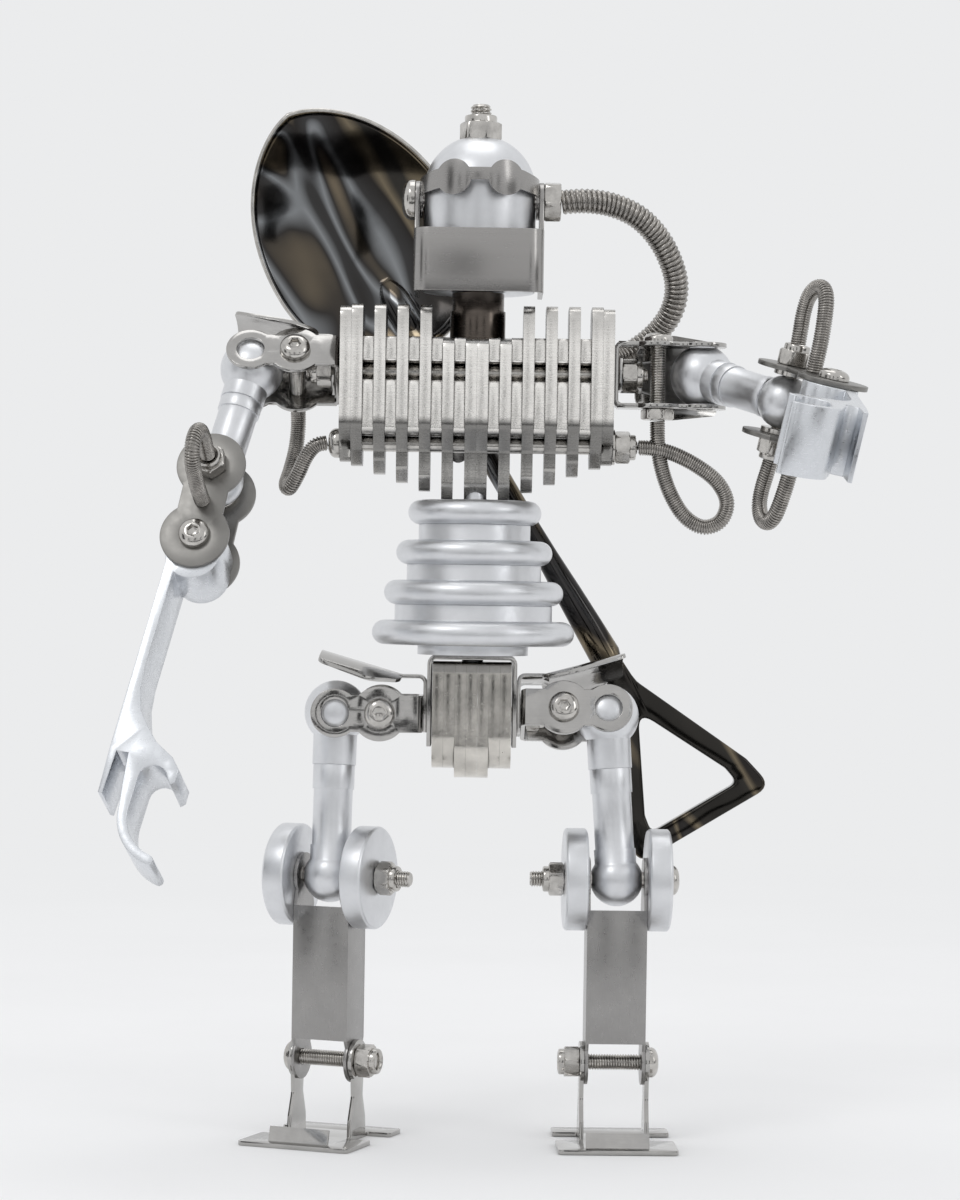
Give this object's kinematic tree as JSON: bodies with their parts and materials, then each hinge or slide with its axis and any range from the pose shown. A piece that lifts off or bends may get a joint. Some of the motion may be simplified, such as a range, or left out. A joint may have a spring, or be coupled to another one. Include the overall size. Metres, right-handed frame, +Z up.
{
  "type": "toy robot",
  "caption": "Poseable metal robot figure of turned rods, stacked rib plates, sheet brackets and fasteners, with claw hands and a shovel on its back.",
  "frame": {"origin": "centre of the whole figure in plan, on the plane of the soles", "axes": "+Z up along the standing figure, -Y the way it faces, +X to its left hand side"},
  "size_m": [0.1369, 0.1136, 0.1966],
  "materials": {
    "satin_aluminium": "bead-blasted satin",
    "milled_aluminium": "milled bright, broken edges",
    "nickel_plate": "bright nickel plate",
    "polished_sheet": "polished sheet",
    "brushed_sheet": "brushed sheet",
    "dull_sheet": "dull rolled sheet",
    "fastener_steel": "bright turned steel",
    "dark_polish": "dark mirror polish",
    "spring_wire": "close-wound wire"
  },
  "bodies": {
    "pelvis": {"pelvis_saddle": "polished_sheet", "pelvis_plates": "nickel_plate", "hip_bolt": "fastener_steel", "waist_ring_1": "satin_aluminium", "waist_ring_2": "satin_aluminium", "waist_ring_3": "satin_aluminium", "waist_ring_4": "satin_aluminium", "waist_stud": "satin_aluminium"},
    "torso": {"long_ribs": "nickel_plate", "centre_ribs": "nickel_plate", "short_ribs": "nickel_plate", "neck_post": "dark_polish", "chest_bolt": "fastener_steel", "shoulder_bolt": "fastener_steel", "shovel_clip": "brushed_sheet", "shoulder_hose_left": "spring_wire", "shoulder_hose_right": "spring_wire", "head_hose": "spring_wire"},
    "head": {"head_dome": "satin_aluminium", "crown_bolt": "fastener_steel", "eye_mask": "brushed_sheet", "ear_bolt": "fastener_steel"},
    "jaw": {"jaw_band": "brushed_sheet"},
    "shovel": {"shovel": "dark_polish"},
    "shoulder_left": {"shoulder_bracket_left": "polished_sheet", "pauldron_left": "polished_sheet", "shoulder_screw_left": "fastener_steel"},
    "arm_ball_left": {"arm_ball_left": "satin_aluminium"},
    "arm_left": {"arm_rod_left": "satin_aluminium"},
    "elbow_left": {"elbow_links_left": "dull_sheet", "elbow_bolts_left": "fastener_steel", "elbow_hose_left": "spring_wire"},
    "forearm_left": {"forearm_left": "milled_aluminium"},
    "hip_left": {"hip_bracket_left": "polished_sheet", "hip_skirt_left": "polished_sheet", "hip_screw_left": "fastener_steel"},
    "thigh_ball_left": {"thigh_ball_left": "satin_aluminium"},
    "thigh_left": {"thigh_rod_left": "satin_aluminium"},
    "shin_left": {"shin_left": "brushed_sheet", "knee_discs_left": "satin_aluminium", "leg_bolts_left": "fastener_steel"},
    "foot_left": {"foot_left": "polished_sheet"},
    "shoulder_right": {"shoulder_bracket_right": "polished_sheet", "pauldron_right": "polished_sheet", "shoulder_screw_right": "fastener_steel"},
    "arm_ball_right": {"arm_ball_right": "satin_aluminium"},
    "arm_right": {"arm_rod_right": "satin_aluminium"},
    "elbow_right": {"elbow_links_right": "dull_sheet", "elbow_bolts_right": "fastener_steel", "elbow_hoses_right": "spring_wire"},
    "forearm_right": {"forearm_right": "milled_aluminium"},
    "hip_right": {"hip_bracket_right": "polished_sheet", "hip_skirt_right": "polished_sheet", "hip_screw_right": "fastener_steel"},
    "thigh_ball_right": {"thigh_ball_right": "satin_aluminium"},
    "thigh_right": {"thigh_rod_right": "satin_aluminium"},
    "shin_right": {"shin_right": "brushed_sheet", "knee_discs_right": "satin_aluminium", "leg_bolts_right": "fastener_steel"},
    "foot_right": {"foot_right": "polished_sheet"}
  },
  "joints": [
    {"name": "waist_turn", "type": "hinge", "parent": "pelvis", "child": "torso", "pos_m": [-0.0021, 0.0376, 0.11898], "axis": [0, 0, -1], "range_deg": [-25, 2]},
    {"name": "head_turn", "type": "hinge", "parent": "torso", "child": "head", "pos_m": [-0.0021, 0.0376, 0.16498], "axis": [0, 0, 1], "range_deg": [-25, 25], "deforming": ["head_hose"]},
    {"name": "jaw_tilt", "type": "hinge", "parent": "head", "child": "jaw", "pos_m": [-0.0021, 0.0376, 0.17778], "axis": [1, 0, 0], "range_deg": [-20, 0]},
    {"name": "shovel_release", "type": "slide", "parent": "torso", "child": "shovel", "axis": [0, 1, 0], "range_m": [0, 0.02]},
    {"name": "shoulder_pitch_left", "type": "hinge", "parent": "torso", "child": "shoulder_left", "pos_m": [-0.04485, 0.0376, 0.14508], "axis": [1, 0, 0], "range_deg": [-35, 30], "deforming": ["shoulder_hose_left"]},
    {"name": "shoulder_swing_left", "type": "hinge", "parent": "shoulder_left", "child": "arm_ball_left", "pos_m": [-0.04485, 0.0376, 0.14508], "axis": [0, -0.809, 0.5878], "range_deg": [-45, 8]},
    {"name": "arm_twist_left", "type": "hinge", "parent": "arm_ball_left", "child": "arm_left", "pos_m": [-0.04485, 0.0376, 0.14508], "axis": [-0.2357, -0.3737, -0.8971], "range_deg": [-40, 40]},
    {"name": "elbow_upper_left", "type": "hinge", "parent": "arm_left", "child": "elbow_left", "pos_m": [-0.05051, 0.02863, 0.12355], "axis": [-0.0883, -0.9111, 0.4027], "range_deg": [-40, 40]},
    {"name": "elbow_lower_left", "type": "hinge", "parent": "elbow_left", "child": "forearm_left", "pos_m": [-0.05292, 0.02309, 0.11048], "axis": [-0.0883, -0.9111, 0.4027], "range_deg": [-60, 60]},
    {"name": "shoulder_pitch_right", "type": "hinge", "parent": "torso", "child": "shoulder_right", "pos_m": [0.04065, 0.0376, 0.14508], "axis": [1, 0, 0], "range_deg": [-20, 20], "deforming": ["shoulder_hose_right"]},
    {"name": "shoulder_swing_right", "type": "hinge", "parent": "shoulder_right", "child": "arm_ball_right", "pos_m": [0.04065, 0.0376, 0.14508], "axis": [0, 0, -1], "range_deg": [-30, 20]},
    {"name": "arm_twist_right", "type": "hinge", "parent": "arm_ball_right", "child": "arm_right", "pos_m": [0.04065, 0.0376, 0.14508], "axis": [-0.5839, 0.7749, 0.2419], "range_deg": [-40, 40]},
    {"name": "elbow_upper_right", "type": "hinge", "parent": "arm_right", "child": "elbow_right", "pos_m": [0.05466, 0.019, 0.13927], "axis": [-0.2009, 0.1508, -0.9679], "range_deg": [-40, 40]},
    {"name": "elbow_lower_right", "type": "hinge", "parent": "elbow_right", "child": "forearm_right", "pos_m": [0.06076, 0.00636, 0.13604], "axis": [-0.2009, 0.1508, -0.9679], "range_deg": [-60, 30]},
    {"name": "hip_pitch_left", "type": "hinge", "parent": "pelvis", "child": "hip_left", "pos_m": [-0.02785, 0.0376, 0.08028], "axis": [1, 0, 0], "range_deg": [-35, 25]},
    {"name": "hip_swing_left", "type": "hinge", "parent": "hip_left", "child": "thigh_ball_left", "pos_m": [-0.02785, 0.0376, 0.08028], "axis": [0, -1, 0], "range_deg": [-22, 3]},
    {"name": "thigh_twist_left", "type": "hinge", "parent": "thigh_ball_left", "child": "thigh_left", "pos_m": [-0.02785, 0.0376, 0.08028], "axis": [-0.0174, -0.0872, -0.996], "range_deg": [-20, 10]},
    {"name": "knee_left", "type": "hinge", "parent": "thigh_left", "child": "shin_left", "pos_m": [-0.02839, 0.0349, 0.0494], "axis": [0.9336, -0.3584, 0], "range_deg": [-10, 60]},
    {"name": "ankle_left", "type": "hinge", "parent": "shin_left", "child": "foot_left", "pos_m": [-0.02839, 0.0349, 0.0149], "axis": [0.9336, -0.3584, 0], "range_deg": [-20, 20]},
    {"name": "hip_pitch_right", "type": "hinge", "parent": "pelvis", "child": "hip_right", "pos_m": [0.02365, 0.0376, 0.08028], "axis": [1, 0, 0], "range_deg": [-11, 3]},
    {"name": "hip_swing_right", "type": "hinge", "parent": "hip_right", "child": "thigh_ball_right", "pos_m": [0.02365, 0.0376, 0.08028], "axis": [0, 0.9563, -0.2924], "range_deg": [-22, 3]},
    {"name": "thigh_twist_right", "type": "hinge", "parent": "thigh_ball_right", "child": "thigh_right", "pos_m": [0.02365, 0.0376, 0.08028], "axis": [-0.0682, 0.0865, 0.9939], "range_deg": [-20, 10]},
    {"name": "knee_right", "type": "hinge", "parent": "thigh_right", "child": "shin_right", "pos_m": [0.02577, 0.03492, 0.04947], "axis": [0.9994, 0.0349, 0], "range_deg": [-10, 60]},
    {"name": "ankle_right", "type": "hinge", "parent": "shin_right", "child": "foot_right", "pos_m": [0.02577, 0.03492, 0.01497], "axis": [0.9994, 0.0349, 0], "range_deg": [-20, 20]}
  ]
}
